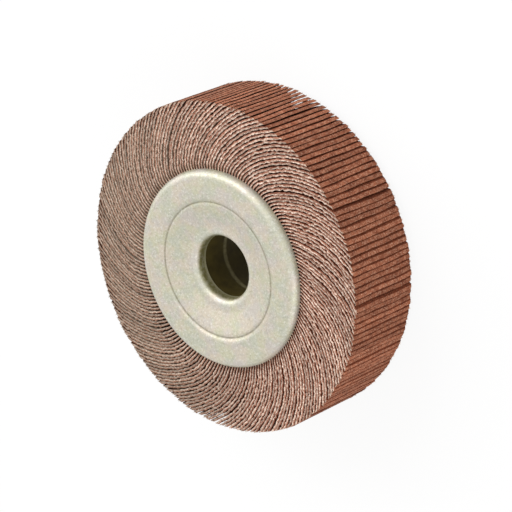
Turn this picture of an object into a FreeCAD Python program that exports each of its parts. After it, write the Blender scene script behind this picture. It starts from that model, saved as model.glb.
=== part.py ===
import FreeCAD, Part
import math
import os

import Sketcher
from FreeCAD import Placement, Rotation, Vector

# A flap wheel lying flat: its axis is Z, and the origin is the middle of the bore.
# Every flap runs straight from the core to the flange's rim and then sweeps back
# along an involute, so that neighbouring flaps keep the same gap all the way out.

# Driving dimensions in millimetres: alias, number and what it measures
SIZES = (
    ("wheel_diameter", 200.0, "over the corners of the flap tips"),
    ("wheel_width", 50.0, "of every flap, along the axis"),
    ("flap_count", 180, "flaps in the whole wheel"),
    ("flap_thickness", 1.0, "cloth, glue and grain together"),
    ("flaps_per_set", 4, "neighbouring flaps in one node"),
    ("root_diameter", 64.0, "of the core, where the flap roots stand"),
    ("sweep_diameter", 118.0, "of the base circle of the involutes"),
    ("bore_diameter", 38.0, "through collars and core"),
    ("sheet_thickness", 1.2, "of the pressed flanges"),
    ("flange_diameter", 119.6, "over the turned-down rim"),
    ("rim_height", 5.2, "of the outer ring above the sides of the flaps"),
    ("rim_bend_radius", 2.5, "between the outer ring and the rim, outside"),
    ("dish_depth", 5.0, "from the outer ring down to the floor"),
    ("dish_diameter", 80.4, "of the sunken middle, at the foot of its step"),
    ("step_height", 1.0, "from the edge of the dish to the outer ring"),
    ("step_width", 1.6, "of that step, along the radius"),
    ("floor_diameter", 52.5, "of the flat floor round the mouth of the bore"),
    ("collar_depth", 7.6, "of the collar below the sides of the flaps"),
    ("collar_bend_radius", 3.0, "at the mouth of the bore, outside"),
)

# Straight stretches of a flap's sweep. They get shorter towards the tip by this power,
# so that each leaves the involute by about as much.
FLAP_BENDS = 3
BEND_CROWDING = 2 / 3

# The bend at the rim is drawn as two equal straight stretches across its arc
DIAGONAL = math.sqrt(0.5)

# Handle of a sketch's own origin
ROOT_POINT = (-1, 1)


class Measure:
    """A number together with the formula that ties it to the sheet."""

    def __init__(self, value, formula):
        self.value = float(value)
        self.formula = formula

    def combine(self, other, sign, value):
        """Join this measure and another by a sign; value is the result."""
        return Measure(value, f"({self.formula} {sign} {other.formula})")

    def __add__(self, other):
        other = as_measure(other)
        return self.combine(other, "+", self.value + other.value)

    def __radd__(self, other):
        return as_measure(other) + self

    def __sub__(self, other):
        other = as_measure(other)
        return self.combine(other, "-", self.value - other.value)

    def __mul__(self, other):
        other = as_measure(other)
        return self.combine(other, "*", self.value * other.value)

    def __truediv__(self, other):
        other = as_measure(other)
        return self.combine(other, "/", self.value / other.value)

    def __rsub__(self, other):
        return as_measure(other) - self

    def __rmul__(self, other):
        return as_measure(other) * self

    def root(self):
        """The square root."""
        return Measure(math.sqrt(self.value), f"sqrt({self.formula})")

    def sine(self):
        """The sine of this many degrees."""
        return Measure(math.sin(math.radians(self.value)), f"sin({self.formula})")

    def cosine(self):
        """The cosine of this many degrees."""
        return Measure(math.cos(math.radians(self.value)), f"cos({self.formula})")


def as_measure(number):
    """Take a Measure as it is, and write a plain number out as its own formula."""
    if isinstance(number, Measure):
        return number
    return Measure(number, f"({float(number)!r})")


def make_sheet(doc):
    """Write the driving dimensions into the sheet, and return them as Measures."""
    sheet = doc.addObject("Spreadsheet::Sheet", "Sizes")
    for row, (alias, number, note) in enumerate(SIZES, start=1):
        sheet.set(f"A{row}", alias)
        sheet.set(f"B{row}", str(number))
        sheet.set(f"C{row}", note)
        sheet.setAlias(f"B{row}", alias)
    doc.recompute()
    return {alias: Measure(sheet.get(alias), f"Sizes.{alias}") for alias, _, _ in SIZES}


class Worked:
    """Lengths worked out from the driving dimensions, kept as named properties."""

    def __init__(self, doc):
        self.holder = doc.addObject("App::VarSet", "Worked")

    def keep(self, name, measure):
        """Name a worked-out value, so that sketches refer to it by that name."""
        self.holder.addProperty("App::PropertyFloat", name)
        self.holder.setExpression(name, measure.formula)
        return Measure(measure.value, f"Worked.{name}")


def new_body(doc, name):
    """Start a body whose label names the piece."""
    body = doc.addObject("PartDesign::Body", name)
    body.Label = name
    body.AllowCompound = True
    return body


def origin_feature(body, role):
    """Find one of the body's own planes or axes by its role."""
    return next(part for part in body.Origin.OriginFeatures if part.Role == role)


def new_sketch(body, name, plane):
    """Start a sketch on one of the body's own planes."""
    sketch = body.newObject("Sketcher::SketchObject", name)
    sketch.AttachmentSupport = (origin_feature(body, plane), [""])
    sketch.MapMode = "FlatFace"
    return sketch


def bind(sketch, constraint, measure):
    """Add a constraint with a size and tie the size to its formula."""
    index = sketch.addConstraint(constraint)
    sketch.setExpression(f"Constraints[{index}]", measure.formula)


def draw_outline(sketch, corners):
    """Draw a closed outline through pairs of Measures and constrain it fully."""
    points = [Vector(x.value, y.value, 0) for x, y in corners]
    for start, stop in zip(points, points[1:] + points[:1]):
        sketch.addGeometry(Part.LineSegment(start, stop), False)
    for edge, (x, y) in enumerate(corners):
        previous = (edge - 1) % len(corners)
        sketch.addConstraint(Sketcher.Constraint("Coincident", previous, 2, edge, 1))
        bind(sketch, Sketcher.Constraint("DistanceX", *ROOT_POINT, edge, 1, x.value), x)
        bind(sketch, Sketcher.Constraint("DistanceY", *ROOT_POINT, edge, 1, y.value), y)


def revolve(body, name, corners):
    """Turn an outline in the XZ plane once round the Z axis."""
    sketch = new_sketch(body, f"{name}_outline", "XZ_Plane")
    draw_outline(sketch, corners)
    turned = body.newObject("PartDesign::Revolution", f"{name}_turned")
    turned.Profile = sketch
    turned.ReferenceAxis = (origin_feature(body, "Z_Axis"), [""])
    turned.Angle = 360
    body.Tip = turned


def turn_over(body):
    """Put a piece that was drawn for the front on the rear."""
    body.Placement = Placement(Vector(0, 0, 0), Rotation(Vector(1, 0, 0), 180))


class Wheel:
    """The lengths that the pieces share, so that they seat on each other."""

    def __init__(self, doc, size):
        worked = Worked(doc)
        self.size = size
        self.bore_radius = worked.keep("bore_radius", size["bore_diameter"] / 2)
        self.root_radius = worked.keep("root_radius", size["root_diameter"] / 2)
        self.flange_radius = worked.keep("flange_radius", size["flange_diameter"] / 2)
        self.side = worked.keep("side", size["wheel_width"] / 2)
        self.ring_top = worked.keep("ring_top", self.side + size["rim_height"])
        self.floor_top = worked.keep("floor_top", self.ring_top - size["dish_depth"])
        self.set_mouth(worked)
        self.set_dish(worked)
        self.set_rim(worked)
        self.set_sweep(worked)

    def set_mouth(self, worked):
        """The collar turns into the bore round the mouth."""
        bend = self.size["collar_bend_radius"]
        self.collar_end = worked.keep("collar_end", self.side - self.size["collar_depth"])
        self.collar_outside = worked.keep(
            "collar_outside", self.bore_radius + self.size["sheet_thickness"]
        )
        self.mouth_radius = worked.keep("mouth_radius", self.bore_radius + bend)
        self.mouth_z = worked.keep("mouth_z", self.floor_top - bend)

    def set_dish(self, worked):
        """A flat floor, a cone and a step lead from the mouth up to the outer ring."""
        size = self.size
        self.floor_under = worked.keep("floor_under", self.floor_top - size["sheet_thickness"])
        self.ring_under = worked.keep("ring_under", self.ring_top - size["sheet_thickness"])
        self.floor_radius = worked.keep("floor_radius", size["floor_diameter"] / 2)
        self.dish_radius = worked.keep("dish_radius", size["dish_diameter"] / 2)
        self.dish_top = worked.keep("dish_top", self.ring_top - size["step_height"])
        self.step_end = worked.keep("step_end", self.dish_radius + size["step_width"])
        flat = (as_measure(1), as_measure(0))
        cone = self.slope(worked, "cone", self.dish_radius - self.floor_radius,
                          self.dish_top - self.floor_top)
        step = self.slope(worked, "step", size["step_width"], size["step_height"])
        self.floor_crease = self.underside(worked, "floor_crease", self.floor_radius,
                                           self.floor_top, flat, cone)
        self.dish_crease = self.underside(worked, "dish_crease", self.dish_radius,
                                          self.dish_top, cone, step)
        self.ring_crease = self.underside(worked, "ring_crease", self.step_end,
                                          self.ring_top, step, flat)

    def slope(self, worked, name, width, height):
        """Direction of a sloping stretch of sheet, as the shares of its length."""
        length = worked.keep(f"{name}_length", (width * width + height * height).root())
        return (
            worked.keep(f"{name}_level", width / length),
            worked.keep(f"{name}_rise", height / length),
        )

    def underside(self, worked, name, radius, z, before, after):
        """The crease below a crease of the upper side, so that the sheet keeps its thickness."""
        depth = worked.keep(
            f"{name}_depth",
            self.size["sheet_thickness"] / (1 + before[0] * after[0] + before[1] * after[1]),
        )
        return (
            worked.keep(f"{name}_radius", radius + depth * (before[1] + after[1])),
            worked.keep(f"{name}_z", z - depth * (before[0] + after[0])),
        )

    def set_rim(self, worked):
        """The rim turns down from the outer ring and stands on the sides of the flaps."""
        bend = self.size["rim_bend_radius"]
        self.shoulder_radius = worked.keep("shoulder_radius", self.flange_radius - bend)
        self.shoulder_z = worked.keep("shoulder_z", self.ring_top - bend)
        self.rim_inside = worked.keep(
            "rim_inside", self.flange_radius - self.size["sheet_thickness"]
        )
        self.shoulder_middle = (
            self.shoulder_radius + bend * DIAGONAL,
            self.shoulder_z + bend * DIAGONAL,
        )

    def set_sweep(self, worked):
        """Base circle of the involutes, and how far a flap unrolls from it."""
        thickness = self.size["flap_thickness"]
        base = worked.keep("base_radius", self.size["sweep_diameter"] / 2)
        tip = self.size["wheel_diameter"] / 2
        self.tip_reach = worked.keep("tip_reach", (tip * tip - base * base).root())
        full_roll = worked.keep("full_roll", self.tip_reach / base)
        shares = [(bend / FLAP_BENDS) ** BEND_CROWDING for bend in range(1, FLAP_BENDS + 1)]
        self.base_radius = base
        self.half_flap = worked.keep("half_flap", thickness / 2)
        self.rolls = [
            worked.keep(f"roll_{bend}", share * full_roll)
            for bend, share in enumerate(shares[:-1], start=1)
        ]

    def sweep_corner(self, roll, side):
        """A corner of the flap's outline: side is 1 on the grain's face and -1 on the cloth's."""
        return self.unrolled(roll, self.base_radius * roll + side * self.half_flap)

    def tip_corner(self, side):
        """A corner of the tip, which is dressed to the diameter of the wheel."""
        roll = (self.tip_reach - side * self.half_flap) / self.base_radius
        return self.unrolled(roll, self.tip_reach)

    def unrolled(self, roll, length):
        """The end of a tangent of this length that has rolled so far round the base circle."""
        angle = roll * (180 / math.pi)
        x = self.base_radius * angle.cosine() + length * angle.sine()
        y = length * angle.cosine() - self.base_radius * angle.sine()
        return (x, y)


def build_flange(doc, wheel, name):
    """Pressed sheet: collar in the bore, floor, conical dish, step, outer ring and rim."""
    body = new_body(doc, name)
    corners = [
        (wheel.bore_radius, wheel.collar_end),
        (wheel.bore_radius, wheel.mouth_z),
        (wheel.mouth_radius, wheel.floor_top),
        (wheel.floor_radius, wheel.floor_top),
        (wheel.dish_radius, wheel.dish_top),
        (wheel.step_end, wheel.ring_top),
        (wheel.shoulder_radius, wheel.ring_top),
        wheel.shoulder_middle,
        (wheel.flange_radius, wheel.shoulder_z),
        (wheel.flange_radius, wheel.side),
        (wheel.rim_inside, wheel.side),
        (wheel.rim_inside, wheel.ring_under),
        wheel.ring_crease,
        wheel.dish_crease,
        wheel.floor_crease,
        (wheel.mouth_radius, wheel.floor_under),
        (wheel.collar_outside, wheel.mouth_z),
        (wheel.collar_outside, wheel.collar_end),
    ]
    revolve(body, name, corners)
    return body


def build_core(doc, wheel, name):
    """Cast ring between the flanges, with the collars in its bore and the flaps round it."""
    body = new_body(doc, name)
    low = 0 - wheel.mouth_z
    corners = [
        (wheel.collar_outside, low),
        (wheel.root_radius, low),
        (wheel.root_radius, wheel.mouth_z),
        (wheel.collar_outside, wheel.mouth_z),
    ]
    revolve(body, name, corners)
    return body


def build_flap_set(doc, wheel, name, number):
    """Neighbouring flaps: one outline, its pad and a polar pattern."""
    body = new_body(doc, name)
    grain = [wheel.sweep_corner(roll, 1) for roll in wheel.rolls]
    cloth = [wheel.sweep_corner(roll, -1) for roll in wheel.rolls]
    back = 0 - wheel.half_flap
    corners = [
        (wheel.root_radius, back),
        (wheel.base_radius, back),
        *cloth,
        wheel.tip_corner(-1),
        wheel.tip_corner(1),
        *reversed(grain),
        (wheel.base_radius, wheel.half_flap),
        (wheel.root_radius, wheel.half_flap),
    ]
    sketch = new_sketch(body, f"{name}_outline", "XY_Plane")
    draw_outline(sketch, corners)
    pad = body.newObject("PartDesign::Pad", f"{name}_pad")
    pad.Profile = sketch
    pad.SideType = "Symmetric"
    pad.setExpression("Length", "Sizes.wheel_width")
    pattern = body.newObject("PartDesign::PolarPattern", f"{name}_pattern")
    pattern.Originals = [pad]
    pattern.Axis = (origin_feature(body, "Z_Axis"), [""])
    pattern.setExpression("Occurrences", "Sizes.flaps_per_set")
    pattern.setExpression("Angle", "360 * (Sizes.flaps_per_set - 1) / Sizes.flap_count")
    body.Tip = pattern
    turn = f"360 * {number} * Sizes.flaps_per_set / Sizes.flap_count"
    body.setExpression(".Placement.Rotation.Angle", turn)
    return body


def build_wheel(doc):
    """Make every piece of the wheel, and return the bodies."""
    size = make_sheet(doc)
    wheel = Wheel(doc, size)
    pieces = [
        build_flange(doc, wheel, "front_flange"),
        build_flange(doc, wheel, "rear_flange"),
        build_core(doc, wheel, "core"),
    ]
    turn_over(pieces[1])
    sets = int(size["flap_count"].value // size["flaps_per_set"].value)
    for number in range(sets):
        pieces.append(build_flap_set(doc, wheel, f"flap_set_{number + 1:02d}", number))
    return pieces


def check(doc, pieces):
    """Stop if any object failed or any piece has no sound solid."""
    for item in doc.Objects:
        if {"Invalid", "Error"} & set(item.State):
            raise RuntimeError(f"{item.Label} did not build: {item.State}")
    for body in pieces:
        shape = body.Shape
        if shape.isNull() or not shape.isValid() or not shape.Solids:
            raise RuntimeError(f"{body.Label} is not a sound solid")


def export(pieces):
    """Write each piece to a file of its own name."""
    os.makedirs("parts", exist_ok=True)
    for body in pieces:
        body.Shape.exportStep(f"parts/{body.Label}.step")
        print(body.Label, len(body.Shape.Solids), round(body.Shape.Volume, 3))


document = FreeCAD.newDocument("FlapWheel")
bodies = build_wheel(document)
document.recompute()
check(document, bodies)
export(bodies)
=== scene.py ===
"""Looks of an abrasive flap wheel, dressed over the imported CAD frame.

The wheel lies flat on its rear flange with its axis along +Z. Two pressed steel flanges hold
a resin core and 180 abrasive cloth flaps, which stand straight out of the core and are swept
clockwise outside the flanges. Sizes are in millimetres and become metres in the meshes.
"""

from __future__ import annotations

import logging
import math
import random
from dataclasses import dataclass, field
from enum import Enum, IntEnum
from typing import Any, NamedTuple, Sequence

import bpy
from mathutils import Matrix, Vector, noise


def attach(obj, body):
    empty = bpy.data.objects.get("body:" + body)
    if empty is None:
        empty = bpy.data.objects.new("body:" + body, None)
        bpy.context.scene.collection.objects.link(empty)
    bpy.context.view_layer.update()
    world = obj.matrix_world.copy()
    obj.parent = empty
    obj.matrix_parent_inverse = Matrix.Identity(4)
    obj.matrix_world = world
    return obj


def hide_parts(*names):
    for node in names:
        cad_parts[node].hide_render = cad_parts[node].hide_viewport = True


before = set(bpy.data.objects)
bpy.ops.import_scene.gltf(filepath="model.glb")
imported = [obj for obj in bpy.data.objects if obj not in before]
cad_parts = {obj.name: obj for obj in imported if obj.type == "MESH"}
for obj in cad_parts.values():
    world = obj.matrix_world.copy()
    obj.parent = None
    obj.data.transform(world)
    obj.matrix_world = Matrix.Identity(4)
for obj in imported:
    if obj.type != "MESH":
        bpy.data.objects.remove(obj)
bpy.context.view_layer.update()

MM = 0.001
BODY = "root"

log = logging.getLogger("flap_wheel")

Socket = bpy.types.NodeSocket
Pair = tuple[float, float]
Triple = tuple[float, float, float]
Colour = tuple[float, float, float, float]


class Side(Enum):
    """The two ends of the wheel, as the sign of Z that each one looks along."""

    FRONT = 1
    REAR = -1


class Layer(IntEnum):
    """Material slots of a flap piece."""

    CLOTH = 0
    GRAIN = 1
    CUT_CLOTH = 2
    CUT_GRAIN = 3
    TIP = 4
    THREAD = 5


def linear(red: int, green: int, blue: int) -> Colour:
    """Turns a colour as a screen shows it into the values that a shader works with.

    Args:
        red: Screen value from 0 to 255.
        green: Screen value from 0 to 255.
        blue: Screen value from 0 to 255.

    Returns:
        The linear colour with an alpha of 1.
    """
    def channel(value: int) -> float:
        """Returns one channel's linear value."""
        part = value / 255
        return part / 12.92 if part <= 0.04045 else ((part + 0.055) / 1.055) ** 2.4

    return channel(red), channel(green), channel(blue), 1.0


# --- shader building -------------------------------------------------------------------------


class NodeBench:
    """Adds nodes to one material or node group and joins them as they are made."""

    MIX_FACTOR, MIX_FIRST, MIX_SECOND, MIX_RESULT = 0, 6, 7, 2

    def __init__(self, tree: bpy.types.NodeTree) -> None:
        """Takes the tree that the nodes go into."""
        self.tree = tree

    def add(
        self, kind: str, inputs: dict[Any, Any] | None = None, **settings: Any
    ) -> bpy.types.Node:
        """Adds a node, sets its options, and fills its inputs.

        Args:
            kind: Blender's name of the node type.
            inputs: Input name or number, with a value or the socket that feeds it.
            **settings: Properties of the node itself.

        Returns:
            The new node.
        """
        node = self.tree.nodes.new(kind)
        for name, value in settings.items():
            setattr(node, name, value)
        for name, value in (inputs or {}).items():
            if isinstance(value, Socket):
                self.join(value, node, name)
            else:
                node.inputs[name].default_value = value
        return node

    def join(self, value: Socket, node: bpy.types.Node, name: Any) -> None:
        """Feeds a value into one input of a node."""
        self.tree.links.new(value, node.inputs[name])

    def place(self, group: bpy.types.NodeTree, inputs: dict[str, Any]) -> bpy.types.NodeOutputs:
        """Places a node group with its own values and returns its outputs by name."""
        return self.add("ShaderNodeGroup", inputs, node_tree=group).outputs

    def sum(self, operation: str, first: Any, second: Any = 0.0, clamp: bool = False) -> Socket:
        """Returns the result of one Math node."""
        inputs = {0: first, 1: second}
        return self.add("ShaderNodeMath", inputs, operation=operation, use_clamp=clamp).outputs[0]

    def spread(
        self, value: Socket, low: Any, high: Any, to_low: Any = 0.0, to_high: Any = 1.0
    ) -> Socket:
        """Returns value with low to high spread smoothly over to_low to to_high."""
        inputs = {
            "Value": value, "From Min": low, "From Max": high, "To Min": to_low, "To Max": to_high,
        }
        return self.add("ShaderNodeMapRange", inputs, interpolation_type="SMOOTHSTEP").outputs[0]

    def mix(self, factor: Any, first: Any, second: Any, blend: str = "MIX") -> Socket:
        """Returns first passing into second as factor goes from 0 to 1."""
        inputs = {self.MIX_FACTOR: factor, self.MIX_FIRST: first, self.MIX_SECOND: second}
        node = self.add("ShaderNodeMix", inputs, data_type="RGBA", blend_type=blend)
        return node.outputs[self.MIX_RESULT]

    def noise(
        self, vector: Socket, scale: Any, detail: float = 2.0, roughness: float = 0.5
    ) -> Socket:
        """Returns the value of a noise texture."""
        inputs = {"Vector": vector, "Scale": scale, "Detail": detail, "Roughness": roughness}
        return self.add("ShaderNodeTexNoise", inputs).outputs[0]

    def scaled(self, vector: Socket, factor: float) -> Socket:
        """Returns a vector times a number."""
        inputs = {0: vector, "Scale": factor}
        return self.add("ShaderNodeVectorMath", inputs, operation="SCALE").outputs[0]

    def millimetres(self) -> Socket:
        """Returns the point on the piece in millimetres, in the wheel's own frame."""
        return self.scaled(self.add("ShaderNodeTexCoord").outputs["Object"], 1 / MM)

    def parts(self, vector: Socket) -> bpy.types.NodeOutputs:
        """Returns a vector's X, Y and Z by name."""
        return self.add("ShaderNodeSeparateXYZ", {0: vector}).outputs

    def radius(self, point: Socket) -> Socket:
        """Returns how far a point lies from the wheel's axis."""
        parts = self.parts(point)
        flat = self.add("ShaderNodeCombineXYZ", {"X": parts["X"], "Y": parts["Y"]}).outputs[0]
        return self.add("ShaderNodeVectorMath", {0: flat}, operation="LENGTH").outputs["Value"]


class MaterialBench(NodeBench):
    """Builds one material round one Principled shader."""

    def __init__(
        self, name: str, roughness: float, metallic: float = 0.0, specular: float = 0.5
    ) -> None:
        """Starts the material.

        Args:
            name: Name of the material.
            roughness: Roughness where nothing feeds that socket.
            metallic: Metallic value.
            specular: Specular level.
        """
        self.material = bpy.data.materials.new(name)
        self.material.use_nodes = True
        self.material.node_tree.nodes.clear()
        super().__init__(self.material.node_tree)
        self.shader = self.add("ShaderNodeBsdfPrincipled", {
            "Roughness": roughness, "Metallic": metallic, "Specular IOR Level": specular,
        })
        self.add("ShaderNodeOutputMaterial", {"Surface": self.shader.outputs[0]})

    def feed(self, name: str, value: Socket) -> None:
        """Feeds a value into the shader."""
        self.join(value, self.shader, name)

    def bump(self, height: Socket, strength: float, relief: float) -> None:
        """Raises the surface by a height, with its relief in millimetres."""
        inputs = {"Strength": strength, "Distance": relief * MM, "Height": height}
        self.feed("Normal", self.add("ShaderNodeBump", inputs).outputs[0])


FLOAT, VECTOR, COLOUR = "NodeSocketFloat", "NodeSocketVector", "NodeSocketColor"
WHITE = (1, 1, 1, 1)


class GroupBench(NodeBench):
    """Builds one shader node group with named sockets."""

    def __init__(
        self, name: str, inputs: Sequence[tuple[str, str, Any]], outputs: Sequence[tuple[str, str]]
    ) -> None:
        """Starts the group.

        Args:
            name: Name of the group.
            inputs: Name, socket type and default of each input.
            outputs: Name and socket type of each output.
        """
        super().__init__(bpy.data.node_groups.new(name, "ShaderNodeTree"))
        sockets = self.tree.interface
        for label, kind, default in inputs:
            socket = sockets.new_socket(name=label, in_out="INPUT", socket_type=kind)
            if default is not None:
                socket.default_value = default
        for label, kind in outputs:
            sockets.new_socket(name=label, in_out="OUTPUT", socket_type=kind)
        self.given = self.add("NodeGroupInput").outputs
        self.result = self.add("NodeGroupOutput")

    def give(self, **values: Socket) -> bpy.types.NodeTree:
        """Joins the group's outputs by name and returns the group."""
        for name, value in values.items():
            self.join(value, self.result, name)
        return self.tree


class SurfaceEffects:
    """The shader node groups that the wheel's materials share, each one built once."""

    MOTTLE_STEEPNESS = 4.0
    GLINTS = (0.62, 0.98)
    CROWNS = (0.25, 0.8)
    SCUFF_RUNS = ((0.5, 14.0), (2.1, 18.0))
    SCUFF_SCALE = 1.6
    SCUFF_LIMITS = (0.62, 0.74)
    SIDE_SHADE_FULL_AT = -85.0

    def __init__(self) -> None:
        """Builds every group."""
        self.mottle = self._mottle()
        self.ring = self._ring()
        self.grit = self._grit()
        self.weave = self._weave()
        self.scuffs = self._scuffs()
        self.dust = self._side_shade()
        self.tone = self._tone()

    @staticmethod
    def _mottle() -> bpy.types.NodeTree:
        """Soft cloudy patches between two colours, as in passivated plating and cured resin."""
        bench = GroupBench(
            "Mottle",
            (("Point", VECTOR, None), ("Patch", FLOAT, 10.0), ("Contrast", FLOAT, 0.5),
             ("Colour A", COLOUR, WHITE), ("Colour B", COLOUR, WHITE)),
            (("Colour", COLOUR),),
        )
        given = bench.given
        scale = bench.sum("DIVIDE", 1.0, given["Patch"])
        cloud = bench.noise(given["Point"], scale, detail=4.0, roughness=0.6)
        centred = bench.sum("MULTIPLY", bench.sum("SUBTRACT", cloud, 0.5), given["Contrast"])
        steep = bench.sum("MULTIPLY", centred, SurfaceEffects.MOTTLE_STEEPNESS)
        mask = bench.sum("ADD", steep, 0.5, clamp=True)
        return bench.give(Colour=bench.mix(mask, given["Colour A"], given["Colour B"]))

    @staticmethod
    def _ring() -> bpy.types.NodeTree:
        """A soft ring round the wheel's axis, for rubbed bends, painted highlights on bends and
        painted shade in the groove and bore.
        """
        bench = GroupBench(
            "Ring",
            (("Point", VECTOR, None), ("Radius", FLOAT, 40.0), ("Half Width", FLOAT, 1.0),
             ("Break Up", FLOAT, 0.3)),
            (("Mask", FLOAT),),
        )
        given = bench.given
        radius = bench.radius(given["Point"])
        away = bench.sum("ABSOLUTE", bench.sum("SUBTRACT", radius, given["Radius"]))
        part = bench.sum("DIVIDE", away, given["Half Width"])
        near = bench.sum("SUBTRACT", 1.0, part, clamp=True)
        cloud = bench.noise(given["Point"], 0.45, detail=4.0, roughness=0.6)
        ragged = bench.spread(cloud, low=0.35, high=0.65)
        kept = bench.sum("SUBTRACT", 1.0, bench.sum("MULTIPLY", ragged, given["Break Up"]))
        return bench.give(Mask=bench.sum("MULTIPLY", near, kept))

    @staticmethod
    def _grit() -> bpy.types.NodeTree:
        """Abrasive grains bedded in size coat: their height, and where one catches the light."""
        bench = GroupBench(
            "Grit",
            (("Point", VECTOR, None), ("Grain Size", FLOAT, 0.5)),
            (("Height", FLOAT), ("Glint", FLOAT)),
        )
        scale = bench.sum("DIVIDE", 1.0, bench.given["Grain Size"])
        cells = bench.add(
            "ShaderNodeTexVoronoi", {"Vector": bench.given["Point"], "Scale": scale}
        ).outputs
        crown = bench.sum("SUBTRACT", 1.0, cells["Distance"], clamp=True)
        shade = bench.add("ShaderNodeSeparateColor", {0: cells["Color"]}).outputs[0]
        glint = bench.spread(shade, *SurfaceEffects.GLINTS)
        return bench.give(Height=bench.sum("MULTIPLY", crown, shade), Glint=glint)

    @staticmethod
    def _weave() -> bpy.types.NodeTree:
        """Plain weave of the backing cloth, from the flap's flat pattern in millimetres."""
        bench = GroupBench(
            "Weave",
            (("Flat", VECTOR, None), ("Thread Pitch", FLOAT, 0.8)),
            (("Height", FLOAT), ("Crown", FLOAT)),
        )
        parts = bench.parts(bench.given["Flat"])
        turn = bench.sum("DIVIDE", math.pi, bench.given["Thread Pitch"])
        along = bench.sum("SINE", bench.sum("MULTIPLY", parts["X"], turn))
        across = bench.sum("SINE", bench.sum("MULTIPLY", parts["Y"], turn))
        crossing = bench.sum("MULTIPLY", along, across)
        over, under = bench.sum("ADD", crossing, 1.0), bench.sum("SUBTRACT", 1.0, crossing)
        warp = bench.sum("MULTIPLY", bench.sum("ABSOLUTE", along), over)
        weft = bench.sum("MULTIPLY", bench.sum("ABSOLUTE", across), under)
        height = bench.sum("MULTIPLY", bench.sum("MAXIMUM", warp, weft), 0.5)
        return bench.give(Height=height, Crown=bench.spread(height, *SurfaceEffects.CROWNS))

    @staticmethod
    def _scuffs() -> bpy.types.NodeTree:
        """Fine hair scratches from handling, in two crossing directions."""
        bench = GroupBench(
            "Scuffs", (("Point", VECTOR, None), ("Amount", FLOAT, 0.5)), (("Mask", FLOAT),)
        )
        masks, scale = [], SurfaceEffects.SCUFF_SCALE
        for turn, stretch in SurfaceEffects.SCUFF_RUNS:
            turned = bench.add("ShaderNodeMapping", {
                "Vector": bench.given["Point"], "Rotation": (0, 0, turn),
                "Scale": (scale, scale / stretch, 1.0),
            }).outputs[0]
            cloud = bench.noise(turned, 1.0, detail=3.0, roughness=0.7)
            masks.append(bench.spread(cloud, *SurfaceEffects.SCUFF_LIMITS))
        both = bench.sum("MAXIMUM", *masks)
        return bench.give(Mask=bench.sum("MULTIPLY", both, bench.given["Amount"]))

    @staticmethod
    def _side_shade() -> bpy.types.NodeTree:
        """A greyer tint over a colour, as painted shading, from none at one X to its full amount at
        the -X side.
        """
        bench = GroupBench(
            "Dust",
            (("Colour", COLOUR, WHITE), ("Dust", COLOUR, WHITE), ("Point", VECTOR, None),
             ("Unshaded At", FLOAT, 20.0), ("Amount", FLOAT, 0.5)),
            (("Colour", COLOUR),),
        )
        given = bench.given
        east = bench.parts(given["Point"])["X"]
        full_shade_at = SurfaceEffects.SIDE_SHADE_FULL_AT
        share = bench.spread(east, given["Unshaded At"], full_shade_at, 0.0, given["Amount"])
        return bench.give(Colour=bench.mix(share, given["Colour"], given["Dust"]))

    @staticmethod
    def _tone() -> bpy.types.NodeTree:
        """A colour made darker or lighter as a whole, as no two flaps are quite alike."""
        bench = GroupBench(
            "Tone",
            (("Colour", COLOUR, WHITE), ("Tone", FLOAT, 0.5), ("Darkest", FLOAT, 0.8),
             ("Lightest", FLOAT, 1.12)),
            (("Colour", COLOUR),),
        )
        given = bench.given
        shade = bench.spread(given["Tone"], 0.0, 1.0, given["Darkest"], given["Lightest"])
        grey = bench.add("ShaderNodeCombineColor", {0: shade, 1: shade, 2: shade}).outputs[0]
        return bench.give(Colour=bench.mix(1.0, given["Colour"], grey, "MULTIPLY"))


class RingMark(NamedTuple):
    """A ring of colour round the wheel's axis, for rubbed wear, painted highlights and painted
    shade; lengths in millimetres.
    """

    radius: float
    half_width: float
    strength: float
    tone: Colour


class Speckle(NamedTuple):
    """Fine irregular spots: the scale, roughness and limits of their noise, and their strength."""

    scale: float
    roughness: float
    low: float
    high: float
    strength: float

    def mask(self, bench: NodeBench, point: Socket) -> Socket:
        """Returns how strongly the spots show at a point."""
        cloud = bench.noise(point, self.scale, detail=4.0, roughness=self.roughness)
        return bench.sum("MULTIPLY", bench.spread(cloud, self.low, self.high), self.strength)


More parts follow.
